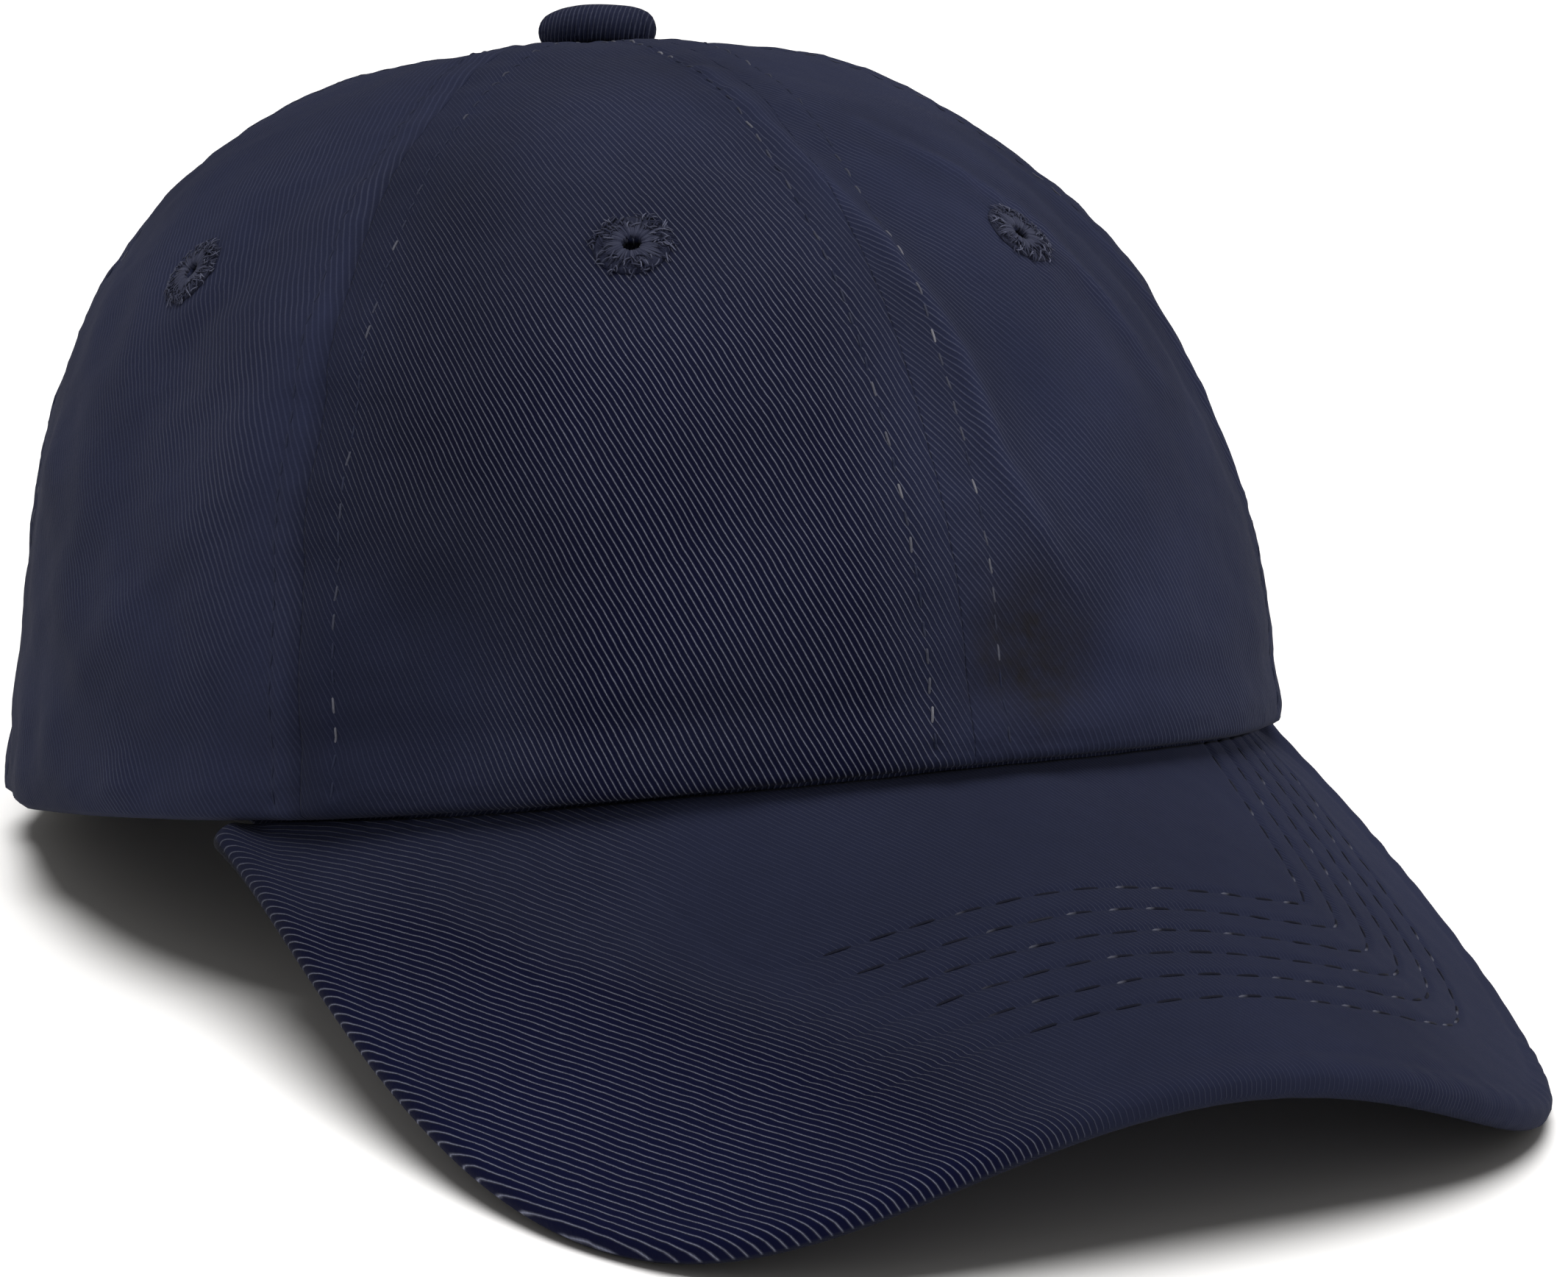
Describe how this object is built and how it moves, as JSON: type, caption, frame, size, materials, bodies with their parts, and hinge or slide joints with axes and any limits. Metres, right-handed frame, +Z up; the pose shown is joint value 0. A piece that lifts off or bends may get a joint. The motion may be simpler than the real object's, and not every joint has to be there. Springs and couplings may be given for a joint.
{
  "type": "baseball cap",
  "caption": "Soft cap with a sewn panelled crown, a curved visor over the eyes, a covered top button and a rear strap with a cam buckle over a half-moon opening.",
  "frame": {"origin": "middle of the cap's footprint, on the plane it stands on", "axes": "+Z up, the visor points to -Y, the wearer's left is +X"},
  "size_m": [0.168, 0.26, 0.1188],
  "materials": {
    "navy_twill": "matte navy cotton twill with a diagonal wale",
    "eyelet_thread": "navy embroidery thread",
    "seam_tape": "plain woven tape",
    "sweatband_cloth": "soft matte twill",
    "buckram_mesh": "stiff open mesh",
    "visor_plastic": "plain moulded",
    "button_metal": "plain pressed",
    "buckle_metal": "satin, dark nickel"
  },
  "bodies": {
    "crown": {"back_panel_left": "navy_twill", "back_panel_right": "navy_twill", "back_seam_tape_left": "seam_tape", "back_seam_tape_right": "seam_tape", "buckle_frame": "buckle_metal", "buckle_pin": "buckle_metal", "buckle_tab": "navy_twill", "buckram_left": "buckram_mesh", "buckram_right": "buckram_mesh", "button_cover": "navy_twill", "button_rivet": "button_metal", "button_shell": "button_metal", "centre_seam_tape": "seam_tape", "eyelet_back_left": "eyelet_thread", "eyelet_back_right": "eyelet_thread", "eyelet_front_left": "eyelet_thread", "eyelet_front_right": "eyelet_thread", "eyelet_side_left": "eyelet_thread", "eyelet_side_right": "eyelet_thread", "front_panel_left": "navy_twill", "front_panel_right": "navy_twill", "front_seam_tape_left": "seam_tape", "front_seam_tape_right": "seam_tape", "rear_arch_binding": "seam_tape", "side_panel_left": "navy_twill", "side_panel_right": "navy_twill", "sweatband": "sweatband_cloth", "visor_board": "visor_plastic", "visor_top_cover": "navy_twill", "visor_under_cover": "navy_twill"},
    "strap": {"strap": "navy_twill"},
    "buckle_lever": {"buckle_lever": "buckle_metal"}
  },
  "joints": [
    {"name": "strap_feed", "type": "hinge", "parent": "crown", "child": "strap", "pos_m": [0, 0.05287, 0.02472], "axis": [0, 0.1748, 0.9846], "range_deg": [-8, 16]},
    {"name": "buckle_lever_turn", "type": "hinge", "parent": "crown", "child": "buckle_lever", "pos_m": [0.01458, 0.12547, 0.01184], "axis": [0, 0.1748, 0.9846], "range_deg": [0, 100]}
  ]
}
